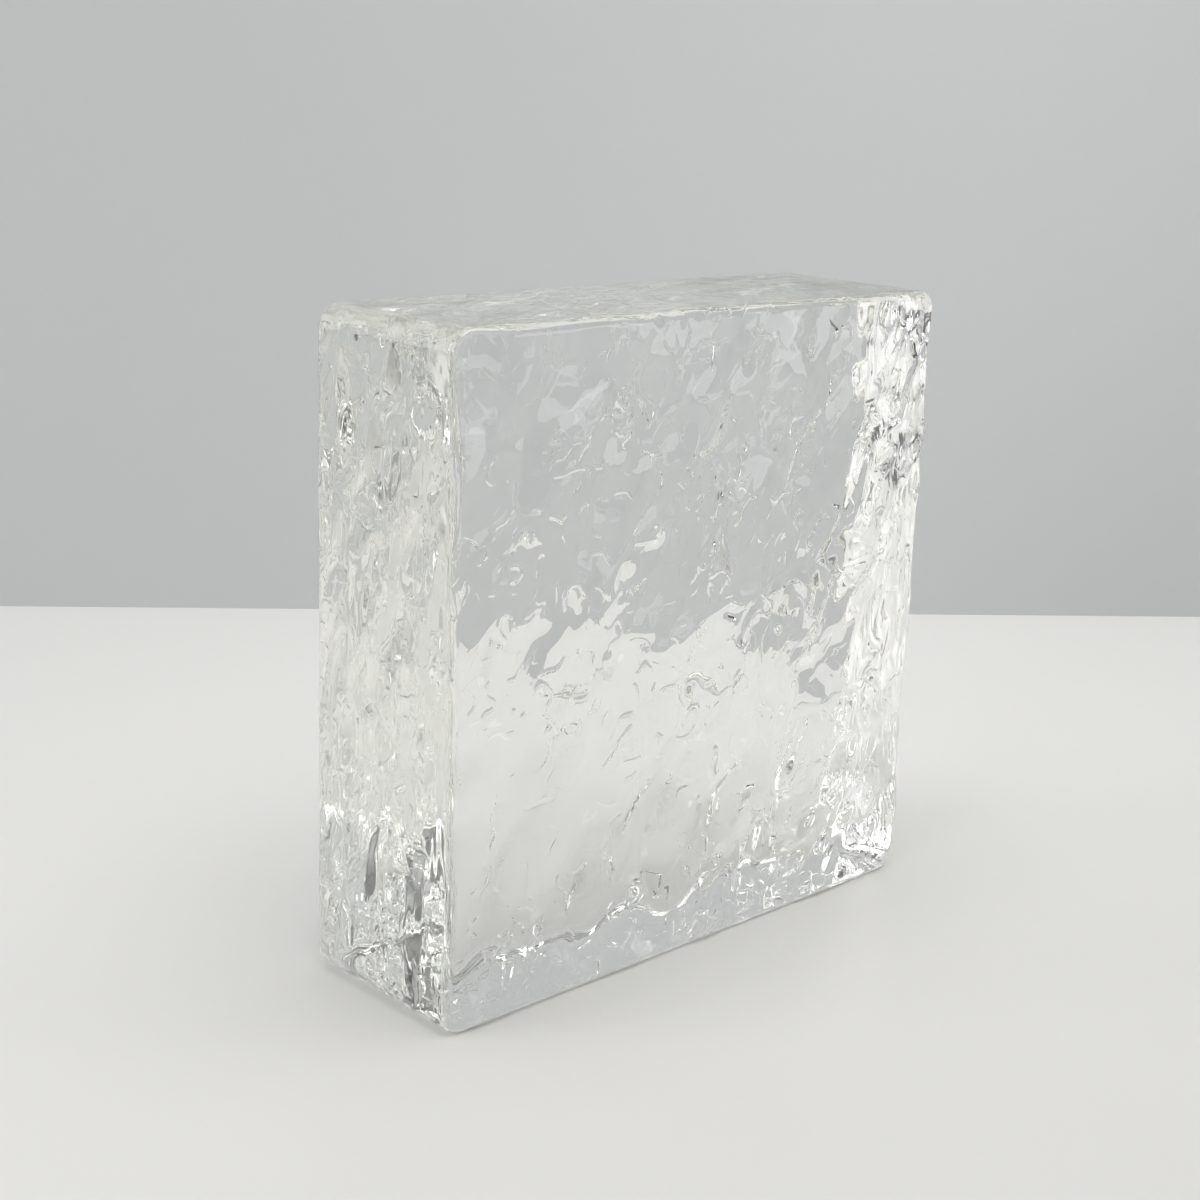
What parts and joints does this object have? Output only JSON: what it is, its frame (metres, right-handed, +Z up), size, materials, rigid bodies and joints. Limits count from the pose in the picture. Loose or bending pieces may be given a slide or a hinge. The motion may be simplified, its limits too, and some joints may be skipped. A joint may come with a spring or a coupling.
{
  "type": "glass tile",
  "caption": "Solid square block of clear cast glass with rolling, water-like broad faces and rounded edges, laid on its narrow faces to build a wall that lets light through.",
  "frame": {"origin": "on the floor, under the middle of the narrow face that the tile stands on", "axes": "+Z up, X along the width, Y through the thickness, with the front broad face towards -Y"},
  "size_m": [0.19, 0.0616, 0.19],
  "materials": {
    "clear_cast_glass": "clear cast soda-lime glass, fire-bright, with rippled faces"
  },
  "bodies": {
    "root": {"glass_tile": "clear_cast_glass"}
  },
  "joints": []
}
